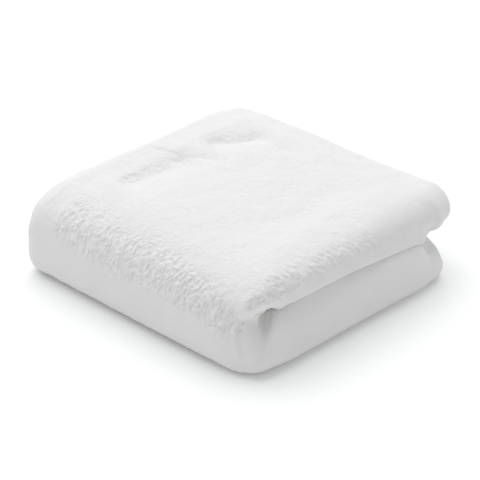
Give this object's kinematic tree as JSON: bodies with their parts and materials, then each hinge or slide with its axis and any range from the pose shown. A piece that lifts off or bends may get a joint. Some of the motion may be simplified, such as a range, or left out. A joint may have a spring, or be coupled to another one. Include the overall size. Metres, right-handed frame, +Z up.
{
  "type": "folded washcloth",
  "caption": "Thick plush washcloth with turned hems, folded in half and in half again into a soft square bundle that lies flat.",
  "frame": {"origin": "middle of the bundle's footprint, on the surface it lies on", "axes": "+Z up; -Y the second fold, the full-height round front; +X the first fold, with the two rolled edges one above the other; -X the stacked side hems; +Y the hemmed open ends"},
  "size_m": [0.1726, 0.1597, 0.0499],
  "materials": {
    "plush": "deep soft white pile, fully matt"
  },
  "bodies": {
    "root": {"washcloth": "plush"}
  },
  "joints": []
}
